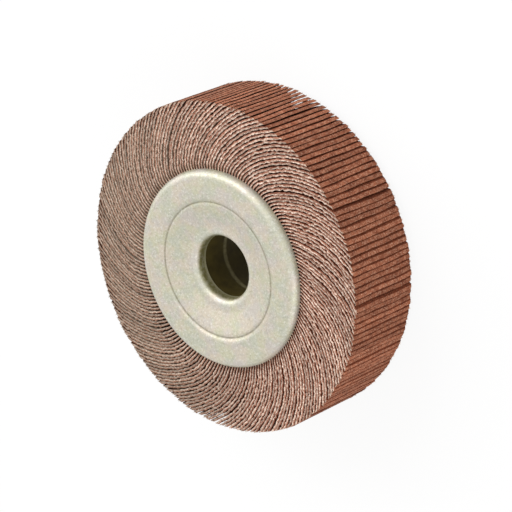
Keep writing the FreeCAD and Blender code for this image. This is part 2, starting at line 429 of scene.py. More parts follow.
@dataclass(frozen=True)
class ZincFinish:
    """Zinc-plated sheet steel: satin, faintly mottled by its passivation, rubbed on its bends;
    rings of painted highlight and painted shade on its bends, groove and bore.
    """

    name: str = "zinc_plated_steel"
    base: Colour = linear(194, 189, 173)
    straw: Colour = linear(206, 195, 163)
    violet: Colour = linear(190, 180, 178)
    green: Colour = linear(174, 181, 162)
    rubbed_and_highlight: Colour = linear(230, 228, 220)
    grime_and_shade: Colour = linear(112, 106, 82)
    bore_painted_shade: Colour = linear(124, 118, 72)
    lip_highlight: Colour = linear(166, 161, 126)
    warm_patch: float = 8.0
    warm_contrast: float = 1.7
    cool_patch: float = 12.0
    cool_contrast: float = 1.9
    cool_shift: Triple = (71.0, 13.0, 5.0)
    flecks: Speckle = Speckle(0.75, 0.8, 0.48, 0.66, 0.5)
    pits: Speckle = Speckle(0.6, 0.85, 0.5, 0.66, 0.3)
    rings: tuple[RingMark, ...] = (
        # Rubbed wear with a painted highlight on the rim shoulder, and a painted highlight all
        # round the bore's mouth.
        RingMark(57.6, 2.6, 0.15, rubbed_and_highlight), RingMark(21.8, 2.2, 0.25, rubbed_and_highlight),
        # Painted shade in the groove below the step, and painted shade down the bore's mouth and
        # collar; the grime colour also tints the real pits.
        RingMark(41.0, 0.9, 0.8, grime_and_shade), RingMark(18.8, 1.6, 1.3, bore_painted_shade),
    )
    ring_break_up: float = 0.4
    lip_height: float = 17.8
    lip_fade: float = 2.2
    scuffing: float = 0.35
    scuff_gloss: float = 0.12
    roughness: float = 0.5
    smoother: float = 0.07
    rougher: float = 0.08
    metallic: float = 0.5
    bump: float = 0.12
    relief: float = 0.15

    def build(self, effects: SurfaceEffects) -> bpy.types.Material:
        """Returns the material.

        Args:
            effects: The shared node groups.
        """
        bench = MaterialBench(self.name, self.roughness, self.metallic)
        point = bench.millimetres()
        warm = bench.place(effects.mottle, {
            "Point": point, "Patch": self.warm_patch, "Contrast": self.warm_contrast,
            "Colour A": self.base, "Colour B": self.straw,
        })["Colour"]
        moved = bench.add("ShaderNodeVectorMath", {0: point, 1: self.cool_shift}).outputs[0]
        cool = bench.place(effects.mottle, {
            "Point": moved, "Patch": self.cool_patch, "Contrast": self.cool_contrast,
            "Colour A": self.violet, "Colour B": self.green,
        })["Colour"]
        colour = bench.mix(0.5, warm, cool)
        colour = bench.mix(self.flecks.mask(bench, point), colour, self.rubbed_and_highlight)
        colour = bench.mix(self.pits.mask(bench, moved), colour, self.grime_and_shade)
        for ring in self.rings:
            mask = bench.place(effects.ring, {
                "Point": point, "Radius": ring.radius, "Half Width": ring.half_width,
                "Break Up": self.ring_break_up,
            })["Mask"]
            colour = bench.mix(bench.sum("MULTIPLY", mask, ring.strength), colour, ring.tone)
        # The collar's inner end is painted a paler olive: a painted highlight on its edge, over the
        # painted shade down the bore.
        height = bench.sum("ABSOLUTE", bench.parts(point)["Z"])
        inside = bench.spread(height, self.lip_height + self.lip_fade, self.lip_height)
        colour = bench.mix(inside, colour, self.lip_highlight)
        scuffs = bench.place(effects.scuffs, {"Point": point, "Amount": self.scuffing})["Mask"]
        bench.feed("Base Color", bench.mix(scuffs, colour, self.rubbed_and_highlight))
        cloud = bench.noise(point, 0.35, detail=4.0, roughness=0.6)
        smooth, rough = self.roughness - self.smoother, self.roughness + self.rougher
        satin = bench.spread(cloud, 0.3, 0.7, smooth, rough)
        polish = bench.sum("MULTIPLY", scuffs, self.scuff_gloss)
        bench.feed("Roughness", bench.sum("SUBTRACT", satin, polish))
        fine = bench.noise(point, 2.4, detail=4.0, roughness=0.7)
        bench.bump(bench.sum("ADD", fine, bench.noise(point, 0.12)), self.bump, self.relief)
        return bench.material


@dataclass(frozen=True)
class ResinFinish:
    """Dark brown moulded resin of the core, with a paler line round its bore."""

    name: str = "core_moulded_resin"
    base: Colour = linear(78, 68, 27)
    dark: Colour = linear(62, 52, 17)
    line: Colour = linear(142, 134, 100)
    patch: float = 7.0
    contrast: float = 1.0
    line_place: float = 0.9
    line_half_width: float = 2.2
    line_core: float = 0.2
    line_slope: float = 0.08
    line_faintest: float = 0.55
    roughness: float = 0.6
    specular: float = 0.15
    bump: float = 0.3
    relief: float = 0.2

    def build(self, effects: SurfaceEffects) -> bpy.types.Material:
        """Returns the material.

        Args:
            effects: The shared node groups.
        """
        bench = MaterialBench(self.name, self.roughness, specular=self.specular)
        point = bench.millimetres()
        cloud = bench.place(effects.mottle, {
            "Point": point, "Patch": self.patch, "Contrast": self.contrast,
            "Colour A": self.base, "Colour B": self.dark,
        })["Colour"]
        parts = bench.parts(point)
        slope = bench.sum("MULTIPLY", parts["X"], self.line_slope)
        height = bench.sum("SUBTRACT", parts["Z"], slope)
        away = bench.sum("ABSOLUTE", bench.sum("SUBTRACT", height, self.line_place))
        near = bench.spread(away, self.line_half_width, self.line_half_width * self.line_core)
        patchy = bench.spread(bench.noise(point, 0.5, 3.0), 0.3, 0.6, self.line_faintest)
        colour = bench.mix(bench.sum("MULTIPLY", near, patchy), cloud, self.line)
        bench.feed("Base Color", colour)
        bench.bump(bench.noise(point, 1.4, detail=4.0, roughness=0.6), self.bump, self.relief)
        return bench.material


@dataclass(frozen=True)
class GrainFinish:
    """The coated side of a flap: red-brown grains in resin, with painted glints on some of them."""

    name: str
    base: Colour
    deep: Colour
    glint: Colour
    grain: float = 0.42
    patch: float = 3.2
    contrast: float = 0.9
    glinting: float = 0.55
    dust: Colour = linear(132, 116, 96)
    side_shading: float = 0.45
    unshaded_at: float = 20.0
    darkest: float = 0.86
    roughness: float = 0.85
    specular: float = 0.15
    bump: float = 0.8
    relief: float = 0.25

    def build(self, effects: SurfaceEffects) -> bpy.types.Material:
        """Returns the material.

        Args:
            effects: The shared node groups.
        """
        bench = MaterialBench(self.name, self.roughness, specular=self.specular)
        point = bench.millimetres()
        cloud = bench.place(effects.mottle, {
            "Point": point, "Patch": self.patch, "Contrast": self.contrast,
            "Colour A": self.base, "Colour B": self.deep,
        })["Colour"]
        grit = bench.place(effects.grit, {"Point": point, "Grain Size": self.grain})
        # Glints: a painted highlight on single grains.
        glints = bench.sum("MULTIPLY", grit["Glint"], self.glinting)
        # Painted shading: the colour goes greyer towards the -X side.
        colour = bench.place(effects.dust, {
            "Colour": bench.mix(glints, cloud, self.glint), "Dust": self.dust, "Point": point,
            "Unshaded At": self.unshaded_at, "Amount": self.side_shading,
        })["Colour"]
        colour = bench.place(effects.tone, {
            "Colour": colour, "Tone": FlapPack.tone(bench), "Darkest": self.darkest,
        })["Colour"]
        bench.feed("Base Color", colour)
        bench.bump(grit["Height"], self.bump, self.relief)
        return bench.material


@dataclass(frozen=True)
class ClothFinish:
    """The back or the cut edge of the cloth: pale threads, darker where resin has soaked in."""

    name: str
    thread: Colour
    soaked: Colour
    stain: Colour
    pitch: float = 0.85
    patch: float = 1.5
    contrast: float = 2.2
    staining: float = 0.6
    dust: Colour = linear(138, 127, 112)
    side_shading: float = 0.6
    unshaded_at: float = 30.0
    swarf_and_gap_shade: Colour = linear(84, 38, 20)
    swarf_and_shade_share: float = 0.0
    swarf_and_shade_zone: Pair = (92.0, 98.5)
    darkest: float = 0.78
    roughness: float = 0.9
    specular: float = 0.2
    bump: float = 0.7
    relief: float = 0.15

    def build(self, effects: SurfaceEffects) -> bpy.types.Material:
        """Returns the material.

        Args:
            effects: The shared node groups.
        """
        bench = MaterialBench(self.name, self.roughness, specular=self.specular)
        point = bench.millimetres()
        flat = bench.add("ShaderNodeUVMap", uv_map=FlapPack.PATTERN).outputs[0]
        weave = bench.place(effects.weave, {
            "Flat": bench.scaled(flat, 1 / MM), "Thread Pitch": self.pitch,
        })
        woven = bench.mix(weave["Crown"], self.soaked, self.thread)
        blotch = bench.place(effects.mottle, {
            "Point": point, "Patch": self.patch, "Contrast": self.contrast,
            "Colour A": self.thread, "Colour B": self.stain,
        })["Colour"]
        # Painted shading: the colour goes greyer and darker towards the -X side.
        colour = bench.place(effects.dust, {
            "Colour": bench.mix(self.staining, woven, blotch), "Dust": self.dust, "Point": point,
            "Unshaded At": self.unshaded_at, "Amount": self.side_shading,
        })["Colour"]
        # Dark red-brown on the cloth backs near the tips: partly ground-in swarf, partly painted
        # shade of the gaps between tips.
        swarf_and_shade = bench.spread(bench.radius(point), *self.swarf_and_shade_zone, 0.0, self.swarf_and_shade_share)
        colour = bench.place(effects.tone, {
            "Colour": bench.mix(swarf_and_shade, colour, self.swarf_and_gap_shade), "Tone": FlapPack.tone(bench),
            "Darkest": self.darkest,
        })["Colour"]
        bench.feed("Base Color", colour)
        bench.bump(weave["Height"], self.bump, self.relief)
        return bench.material


# --- mesh building ---------------------------------------------------------------------------


@dataclass
class MeshSheet:
    """Points and faces of one piece, gathered in millimetres before the mesh is made."""

    points: list[Triple] = field(default_factory=list)
    faces: list[tuple[int, ...]] = field(default_factory=list)
    layers: list[int] = field(default_factory=list)

    def add_face(self, corners: tuple[int, ...], layer: int = 0) -> None:
        """Adds one face with its material slot."""
        self.faces.append(corners)
        self.layers.append(layer)

    def build(
        self, name: str, materials: Sequence[bpy.types.Material], crease: float
    ) -> bpy.types.Object:
        """Makes the object in the scene.

        Args:
            name: Name of the piece.
            materials: Its material slots in order.
            crease: Angle in degrees above which an edge stays sharp.

        Returns:
            The new object, at the wheel's origin.
        """
        mesh = bpy.data.meshes.new(name)
        mesh.from_pydata([(x * MM, y * MM, z * MM) for x, y, z in self.points], [], self.faces)
        for material in materials:
            mesh.materials.append(material)
        mesh.polygons.foreach_set("material_index", self.layers)
        mesh.polygons.foreach_set("use_smooth", [True] * len(self.faces))
        mesh.set_sharp_from_angle(angle=math.radians(crease))
        mesh.update()
        piece = bpy.data.objects.new(name, mesh)
        bpy.context.scene.collection.objects.link(piece)
        return piece


class Section:
    """Closed outline of a turned or pressed ring, as radius and height in millimetres."""

    SAME = 1e-6
    DRIFT_SCALE = 0.03
    DRIFT_SEED = 7.0

    def __init__(self) -> None:
        """Starts with no points."""
        self.points: list[Pair] = []

    def go(self, radius: float, height: float) -> "Section":
        """Adds one point, unless it is the last one again."""
        if not self.points or math.dist(self.points[-1], (radius, height)) > self.SAME:
            self.points.append((radius, height))
        return self

    def follow(self, path: Sequence[Pair]) -> "Section":
        """Adds the points of a path."""
        for radius, height in path:
            self.go(radius, height)
        return self

    def run(self, radius: float, height: float, steps: int) -> "Section":
        """Adds a straight run in equal steps from the last point."""
        start = self.points[-1]
        for step in range(1, steps + 1):
            part = step / steps
            self.go(start[0] + (radius - start[0]) * part, start[1] + (height - start[1]) * part)
        return self

    def arc(
        self, centre: Pair, bend: float, start: float, end: float, steps: int = 4
    ) -> "Section":
        """Adds an arc about centre.

        Args:
            centre: Radius and height of the arc's centre.
            bend: Radius of the arc.
            start: First angle in degrees, from the outward direction towards +Z.
            end: Last angle in degrees.
            steps: Number of steps along it.
        """
        for step in range(steps + 1):
            angle = math.radians(start + (end - start) * step / steps)
            self.go(centre[0] + bend * math.cos(angle), centre[1] + bend * math.sin(angle))
        return self

    def turned(self, side: Side, steps: int, drift: float = 0.0) -> MeshSheet:
        """Turns the outline round the wheel's axis.

        Args:
            side: End of the wheel that the ring belongs to.
            steps: Number of steps round.
            drift: Largest unevenness of the height, in millimetres.

        Returns:
            The closed ring.
        """
        sheet = MeshSheet()
        if math.dist(self.points[0], self.points[-1]) < self.SAME:
            self.points.pop()
        count = len(self.points)
        for step in range(steps):
            angle = math.tau * step / steps
            cosine, sine = math.cos(angle), math.sin(angle)
            for radius, height in self.points:
                x, y = radius * cosine, radius * sine
                spot = (x * self.DRIFT_SCALE, y * self.DRIFT_SCALE, side.value * self.DRIFT_SEED)
                lift = drift * noise.noise(Vector(spot))
                sheet.points.append((x, y, (height + lift) * side.value))
        for step in range(steps):
            here, there = step * count, (step + 1) % steps * count
            for spot in range(count):
                after = (spot + 1) % count
                corners = (here + spot, there + spot, there + after, here + after)
                sheet.add_face(corners if side is Side.FRONT else corners[::-1])
        return sheet


BEND_STEP = 6
FEWEST_STEPS = 4


def bent_path(corners: Sequence[Triple], offset: float, stride: float = 2.5) -> list[Pair]:
    """Follows straight stretches with a round bend at each corner between them.

    Args:
        corners: Radius, height and bend radius of each corner; the two ends have no bend.
        offset: Distance that the result keeps to the right of the path, in millimetres.
        stride: Longest step along a straight stretch.

    Returns:
        The points in order, as radius and height.
    """
    places = [Vector(corner[:2]) for corner in corners]
    ways = [(there - here).normalized() for here, there in zip(places, places[1:])]
    path: list[Vector] = []

    def reach(point: Vector) -> None:
        """Runs straight on to a point in steps."""
        if path:
            start = path[-1].copy()
            steps = max(1, math.ceil((point - start).length / stride))
            path.extend(start.lerp(point, step / steps) for step in range(1, steps + 1))
        else:
            path.append(point)

    def right(way: Vector) -> Vector:
        """Returns the direction to the right of a direction."""
        return Vector((way.y, -way.x))

    reach(places[0] + right(ways[0]) * offset)
    for place, before, after, (_, _, bend) in zip(places[1:], ways, ways[1:], corners[1:]):
        turn = math.atan2(before.x * after.y - before.y * after.x, before.dot(after))
        sign = math.copysign(1.0, turn)
        centre = place - before * (bend * math.tan(abs(turn) / 2)) - right(before) * (bend * sign)
        steps = max(FEWEST_STEPS, round(math.degrees(abs(turn)) / BEND_STEP))
        for step in range(steps + 1):
            angle = turn * step / steps
            way = Vector((
                before.x * math.cos(angle) - before.y * math.sin(angle),
                before.x * math.sin(angle) + before.y * math.cos(angle),
            ))
            spot = centre + right(way) * (bend * sign + offset)
            if step:
                path.append(spot)
            else:
                reach(spot)
    reach(places[-1] + right(ways[-1]) * offset)
    return [tuple(point) for point in path]


@dataclass
class Flange:
    """A flange pressed from sheet: collar, flat floor, conical dish, groove, step, ring and rim."""

    side: Side
    bore: float = 19.0
    sheet: float = 1.2
    collar_end: float = 17.4
    mouth_bend: float = 4.2
    floor_top: float = 25.2
    floor_radius: float = 26.25
    floor_bend: float = 9.0
    dish_radius: float = 39.6
    dish_top: float = 29.25
    crest_bend: float = 2.2
    groove_radius: float = 41.0
    groove_bottom: float = 28.8
    groove_bend: float = 1.0
    step_end: float = 43.2
    step_bend: float = 4.0
    ring_top: float = 30.2
    rim: float = 59.8
    rim_bend: float = 4.8
    seat_height: float = 25.0
    edge_round: float = 0.3
    unevenness: float = 0.05
    turn_steps: int = 256
    sharp_above: float = 50.0

    @property
    def name(self) -> str:
        """Name of the piece."""
        return f"{self.side.name.lower()}_pressed_flange"

    def outline(self) -> Section:
        """Returns the pressing's cross-section, from the collar over the top and back below."""
        thin, edge = self.sheet, self.edge_round
        start, stop = self.collar_end + edge, self.seat_height + edge
        corners = (
            (self.bore, start, 0.0),
            (self.bore, self.floor_top, self.mouth_bend),
            (self.floor_radius, self.floor_top, self.floor_bend),
            (self.dish_radius, self.dish_top, self.crest_bend),
            (self.groove_radius, self.groove_bottom, self.groove_bend),
            (self.step_end, self.ring_top, self.step_bend),
            (self.rim, self.ring_top, self.rim_bend),
            (self.rim, stop, 0.0),
        )
        section = Section().follow(bent_path(corners, 0.0))
        section.arc((self.rim - edge, stop), edge, 0, -90)
        section.arc((self.rim - thin + edge, stop), edge, -90, -180)
        section.follow(bent_path(corners, thin)[::-1])
        section.arc((self.bore + thin - edge, start), edge, 0, -90)
        section.arc((self.bore + edge, start), edge, -90, -180)
        return section

    def build(self, zinc: bpy.types.Material) -> bpy.types.Object:
        """Makes the flange and gives it its finish.

        Args:
            zinc: The plated steel material.

        Returns:
            The flange.
        """
        sheet = self.outline().turned(self.side, self.turn_steps, self.unevenness)
        piece = sheet.build(self.name, [zinc], self.sharp_above)
        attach(piece, BODY)
        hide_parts(f"{self.side.name.lower()}_flange")
        return piece


@dataclass
class Core:
    """The moulded ring inside the flap roots."""

    bore: float = 20.2
    outside: float = 32.0
    half_width: float = 22.2
    chamfer: float = 0.5
    bore_steps: int = 16
    end_steps: int = 3
    outside_steps: int = 4
    turn_steps: int = 160
    sharp_above: float = 35.0

    def outline(self) -> Section:
        """Returns the ring's cross-section."""
        section = Section()
        section.go(self.bore + self.chamfer, -self.half_width)
        section.go(self.bore, -self.half_width + self.chamfer)
        section.run(self.bore, self.half_width - self.chamfer, self.bore_steps)
        section.go(self.bore + self.chamfer, self.half_width)
        section.run(self.outside - self.chamfer, self.half_width, self.end_steps)
        section.go(self.outside, self.half_width - self.chamfer)
        section.run(self.outside, -self.half_width + self.chamfer, self.outside_steps)
        section.go(self.outside - self.chamfer, -self.half_width)
        return section

    def build(self, resin: bpy.types.Material) -> bpy.types.Object:
        """Makes the core and gives it its finish.

        Args:
            resin: The moulded resin material.

        Returns:
            The core.
        """
        ring = self.outline().turned(Side.FRONT, self.turn_steps)
        piece = ring.build("core_ring", [resin], self.sharp_above)
        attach(piece, BODY)
        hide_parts("core")
        return piece


class Skin(Enum):
    """Surfaces of a flap: place off its middle line where held, and how far it swells loose."""

    CLOTH = (-0.5, -0.18)
    SEAM = (0.08, 0.04)
    COAT = (0.5, 0.26)


class Station(NamedTuple):
    """One point of a flap's middle line; lengths in millimetres, roll in radians.

    Held is the distance inside the sweep circle, roll the cloth's turn off that circle, offset
    the distance off the even curve, length that from the root. Loose and ending go from 0 to 1,
    away from the flange and at the tip.
    """

    held: float
    roll: float
    offset: float
    height: float
    length: float
    loose: float
    ending: float


def ease(value: float) -> float:
    """Returns value kept between 0 and 1 and smoothed at both ends."""
    value = min(max(value, 0.0), 1.0)
    return value * value * (3 - 2 * value)


def ramp(value: float, start: float, length: float) -> float:
    """Returns 0 before start, 1 a length after it, and a smooth rise between."""
    return ease((value - start) / length)


class Fibres(NamedTuple):
    """Loose fibres of one kind: how many, how steeply they rise, and how far they reach."""

    count: int
    rise: Pair
    reach: Pair
    curl: float = 0.0
    rings: int = 1


@dataclass
class FlapPack:
    """All the cloth flaps, one piece for each set of neighbours.

    Lengths are in millimetres and angles in degrees. Loosens, bulge_rise and bulge_fall give the
    place along the flap where something sets in and the length over which it does. A scale gives
    how long waves are along and across the flap, and how fast they change from flap to flap. The
    other pairs are ranges. Parted lists the flaps where neighbours stand apart at their tips,
    with the gap.
    """

    PATTERN = "flat_pattern"
    TONE = "flap_tone"
    FIBRE_SIDES = 3
    FIBRE_SUNK = 0.15
    FIBRE_TAPER = 0.6
    NICK_LAYER = 4.0

    flaps: int = 180
    set_size: int = 4
    width: float = 50.0
    root: float = 32.0
    sweep: float = 59.0
    tip: float = 100.0
    stations: int = 40
    rows: int = 16
    edge_row: float = 0.7
    crowding: float = 1.5
    crowded_towards: float = 245.0
    tip_lag: float = 24.0
    buckle: float = 0.35
    buckle_scale: Triple = (14.0, 18.0, 0.2)
    ripple: float = 0.2
    ripple_scale: Triple = (7.0, 15.0, 9.7)
    free_after: float = 18.0
    loosens: Pair = (1.5, 9.0)
    fray: float = 0.17
    bulge: float = 0.9
    bulge_rise: Pair = (0.6, 4.0)
    bulge_fall: Pair = (6.0, 30.0)
    nick: float = 0.16
    nick_length: float = 1.7
    nick_change: float = 3.1
    corner_wear: Pair = (0.1, 0.45)
    uneven_tips: float = 0.14
    uneven_lean: float = 0.06
    uneven_sides: float = 0.2
    side_limit: float = 0.5
    tip_roundness: int = 8
    parted: tuple[tuple[int, float], ...] = (
        (7, 0.3), (23, 0.35), (41, 0.25), (58, 0.35), (77, 0.35), (89, 0.45), (97, 0.4), (108, 0.5),
        (116, 0.35), (127, 0.45), (139, 0.35), (152, 0.3), (166, 0.3),
    )
    parted_reach: int = 6
    edge_hairs: Fibres = Fibres(64, (0.2, 1.2), (0.3, 0.9))
    corner_threads: Fibres = Fibres(7, (0.1, 0.8), (0.5, 1.4), 0.35, 3)
    tip_hairs: Fibres = Fibres(10, (-0.6, 0.6), (0.2, 0.5))
    first_hair: int = 8
    thread_falloff: float = 0.9
    thread_reach: int = 5
    tip_hair_spread: float = 1.4
    fibre_along: Pair = (-0.6, 0.9)
    fibre_outward: Pair = (-0.7, 0.7)
    fibre_foot: Pair = (-0.55, 0.15)
    fibre_thickness: Pair = (0.07, 0.15)
    sharp_above: float = 50.0
    seed: int = 4107

    def __post_init__(self) -> None:
        """Draws what differs from flap to flap."""
        rng = random.Random(self.seed)
        self.tones = [rng.random() for _ in range(self.flaps)]
        self.tip_cut = [rng.gauss(0, self.uneven_tips) for _ in range(self.flaps)]
        self.tip_lean = [rng.gauss(0, self.uneven_lean) for _ in range(self.flaps)]
        self.side_shift = [rng.gauss(0, self.uneven_sides) for _ in range(self.flaps)]
        self.rng = rng

    @classmethod
    def tone(cls, bench: NodeBench) -> Socket:
        """Returns the tone of the flap that a material is on, from 0 to 1."""
        return bench.add("ShaderNodeAttribute", attribute_name=cls.TONE).outputs["Fac"]

    def lean(self, flap: int) -> float:
        """Returns how far a flap's tip stands off its even place, in millimetres.

        The tips bunch on one side of the wheel, and a few neighbours part in a narrow wedge.

        Args:
            flap: Number of the flap, counted counter-clockwise.
        """
        angle = math.radians(360 * flap / self.flaps - self.tip_lag - self.crowded_towards)
        shift = self.tip_lean[flap] - self.crowding * math.sin(angle)
        for place, gap in self.parted:
            away = (flap - place + self.flaps / 2) % self.flaps - self.flaps / 2
            if 0 <= away < self.parted_reach:
                shift += gap / 2 * (1 - away / self.parted_reach)
            elif -self.parted_reach <= away < 0:
                shift -= gap / 2 * (1 + (away + 1) / self.parted_reach)
        return shift

    def offset(self, flap: int, along: float, height: float) -> float:
        """Returns how far the middle of a flap stands off its even curve.

        Args:
            flap: Number of the flap.
            along: Length along the curve from where the sweep starts, in millimetres.
            height: Height across the wheel, in millimetres.
        """
        def wave(scale: Triple) -> float:
            """Returns a smooth wave of one size over the flap."""
            return noise.noise(Vector((along / scale[0], height / scale[1], flap * scale[2])))

        shift = self.lean(flap) + self.buckle * wave(self.buckle_scale)
        return ease(along / self.free_after) * (shift + self.ripple * wave(self.ripple_scale))

    def spot(self, flap: int, station: Station, skin: float) -> Vector:
        """Returns a point of a flap on the wheel.

        Args:
            flap: Number of the flap.
            station: The point of its middle line.
            skin: Distance off the middle line, towards the coated side.
        """
        roll = station.roll - skin / self.sweep * station.ending
        length = self.sweep * roll + station.offset + skin
        turn = math.tau * flap / self.flaps
        angle = turn - roll
        return Vector((
            self.sweep * math.cos(angle) - length * math.sin(angle) - station.held * math.cos(turn),
            self.sweep * math.sin(angle) + length * math.cos(angle) - station.held * math.sin(turn),
            station.height,
        ))

    def _column(self, flap: int, row: int) -> list[Station]:
        """Returns one line of a flap from root to tip.

        Args:
            flap: Number of the flap.
            row: Row across the wheel, 0 at the rear side.
        """
        rng, half = self.rng, self.width / 2
        edge = row in (0, self.rows)
        if edge:
            even = math.copysign(half, row - 1)
        else:
            even = (2 * (row - 1) / (self.rows - 2) - 1) * (half - self.edge_row)
        last = (self.tip ** 2 - self.sweep ** 2) / (2 * self.sweep)
        place = Vector((flap * self.nick_change, even / self.nick_length, self.NICK_LAYER))
        nick = self.nick * noise.noise(place)
        reach = math.sqrt(self.tip ** 2 - self.sweep ** 2) + self.tip_cut[flap] + nick
        if edge:
            reach -= rng.uniform(*self.corner_wear)
        final = (reach - self.offset(flap, last, even)) / self.sweep
        straight = self.sweep - self.root
        column = [
            Station(held, 0.0, 0.0, even, straight - held, 0.0, 0.0)
            for held in (straight, straight / 2)
        ]
        for step in range(self.stations + 1):
            part = step / self.stations
            roll = final * math.sqrt(part)
            along = self.sweep * roll * roll / 2
            loose, height = ramp(along, *self.loosens), even
            offset = self.offset(flap, along, even)
            if edge:
                uneven = self.side_shift[flap] + rng.gauss(0, self.fray)
                swollen = self.bulge * ramp(along, *self.bulge_rise)
                swollen *= 1 - ramp(along, *self.bulge_fall)
                height += math.copysign(min(uneven * loose, self.side_limit) + swollen, even)
                offset += loose * rng.gauss(0, self.fray)
            ending = part ** self.tip_roundness
            column.append(Station(0.0, roll, offset, height, straight + along, loose, ending))
        return column

    def _skin(self, skin: Skin, station: Station, edge: bool) -> float:
        """Returns how far a skin lies off the middle line at a station."""
        held, swell = skin.value
        frayed = station.loose * self.rng.gauss(0, self.fray) if edge else 0.0
        return held + swell * station.loose + frayed

    def _add_flap(
        self, sheet: MeshSheet, flap: int, columns: list[list[Station]], flats: list[Pair]
    ) -> None:
        """Adds one flap, as two layers of cloth and coat with their cut edges.

        Args:
            sheet: The set's mesh sheet.
            flap: Number of the flap.
            columns: Its lines of stations across the wheel.
            flats: Place of each point on the flap's flat pattern, added to here.
        """
        count = len(columns[0])
        start = len(sheet.points)

        def lay(row: int, place: int, skin: Skin) -> None:
            """Adds one point of one skin."""
            station = columns[row][place]
            edge = row in (0, self.rows)
            sheet.points.append(tuple(self.spot(flap, station, self._skin(skin, station, edge))))
            flats.append((station.length, station.height))

        for skin in (Skin.CLOTH, Skin.COAT):
            for row in range(self.rows + 1):
                for place in range(count):
                    lay(row, place, skin)
        border = [(0, place, Layer.CUT_CLOTH) for place in range(count - 1)]
        border += [(row, count - 1, Layer.TIP) for row in range(self.rows)]
        border += [(self.rows, place, Layer.CUT_CLOTH) for place in range(count - 1, 0, -1)]
        border += [(row, 0, Layer.CUT_CLOTH) for row in range(self.rows, 0, -1)]
        seam = len(sheet.points)
        for row, place, _ in border:
            lay(row, place, Skin.SEAM)

        grid = (self.rows + 1) * count
        for row in range(self.rows):
            for place in range(count - 1):
                first = start + row * count + place
                corners = (first, first + 1, first + count + 1, first + count)
                sheet.add_face(corners, Layer.CLOTH)
                sheet.add_face(tuple(corner + grid for corner in corners[::-1]), Layer.GRAIN)
        for number, (row, place, layer) in enumerate(border):
            next_row, next_place, _ = border[(number + 1) % len(border)]
            here, there = start + row * count + place, start + next_row * count + next_place
            middle, next_middle = seam + number, seam + (number + 1) % len(border)
            sheet.add_face((there, here, middle, next_middle), layer)
            outer = layer if layer is Layer.TIP else Layer.CUT_GRAIN
            sheet.add_face((next_middle, middle, here + grid, there + grid), outer)

    def _add_fibre(
        self, sheet: MeshSheet, base: Vector, bend: tuple[Vector, Vector], thick: float,
        rings: int, layer: Layer,
    ) -> None:
        """Adds one loose fibre as a thin three-sided spike.

        Args:
            sheet: The set's mesh sheet.
            base: Where it leaves the cloth.
            bend: Its reach as a vector, and how far it curls aside at its end.
            thick: Radius at its foot.
            rings: Rings of points before its end; more than one lets it curl.
            layer: Its material slot.
        """
        reach, curl = bend
        across = reach.orthogonal().normalized()
        aside = reach.normalized().cross(across)
        start, sides = len(sheet.points), self.FIBRE_SIDES
        for ring in range(rings):
            part = ring / rings
            middle = base + reach * (part - self.FIBRE_SUNK) + curl * (part * part)
            spread = thick * (1 - self.FIBRE_TAPER * part)
            for corner in range(sides):
                turn = math.tau * corner / sides
                way = across * math.cos(turn) + aside * math.sin(turn)
                sheet.points.append(tuple(middle + way * spread))
        sheet.points.append(tuple(base + reach + curl))
        for ring in range(rings):
            for corner in range(sides):
                here = start + ring * sides + corner
                there = start + ring * sides + (corner + 1) % sides
                if ring < rings - 1:
                    sheet.add_face((here, there, there + sides, here + sides), layer)
                else:
                    sheet.add_face((here, there, start + rings * sides), layer)

    def _add_fibres(self, sheet: MeshSheet, flap: int, columns: list[list[Station]]) -> None:
        """Adds the fibres that stand off a flap's cut sides, its tip and its outer corners.

        Args:
            sheet: The set's mesh sheet.
            flap: Number of the flap.
            columns: Its lines of stations across the wheel.
        """
        rng = self.rng

        def grow(
            station: Station, lift: float, reach: float, kind: Fibres, layer: Layer = Layer.THREAD
        ) -> None:
            """Adds one fibre at a station, rising by lift along the axis for each unit outward."""
            angle = math.tau * flap / self.flaps - station.roll
            along = Vector((math.cos(angle), math.sin(angle), 0))
            outward = Vector((-math.sin(angle), math.cos(angle), 0))
            heading = along * rng.uniform(*self.fibre_along)
            heading = heading + outward * rng.uniform(*self.fibre_outward) + Vector((0, 0, lift))
            base = self.spot(flap, station, rng.uniform(*self.fibre_foot))
            aside = Vector([rng.uniform(-1, 1) for _ in range(3)]) * kind.curl
            thick = rng.uniform(*self.fibre_thickness)
            bend = (heading.normalized() * reach, aside)
            self._add_fibre(sheet, base, bend, thick, kind.rings, layer)

        hairs, threads, tips = self.edge_hairs, self.corner_threads, self.tip_hairs
        for side in Side:
            column = columns[self.rows if side is Side.FRONT else 0]
            for _ in range(hairs.count):
                station = column[rng.randrange(self.first_hair, len(column))]
                lift = side.value * rng.uniform(*hairs.rise)
                grow(station, lift, rng.uniform(*hairs.reach), hairs)
            for _ in range(threads.count):
                back = min(int(rng.expovariate(self.thread_falloff)), self.thread_reach)
                station = column[-1 - back]
                lift = side.value * rng.uniform(*threads.rise)
                grow(station, lift, rng.uniform(*threads.reach), threads)
        for _ in range(tips.count):
            station = columns[rng.randrange(1, self.rows)][-1]
            height = station.height + rng.uniform(-self.tip_hair_spread, self.tip_hair_spread)
            reach = rng.uniform(*tips.reach)
            lift = rng.uniform(*tips.rise)
            grow(station._replace(height=height), lift, reach, tips, Layer.TIP)

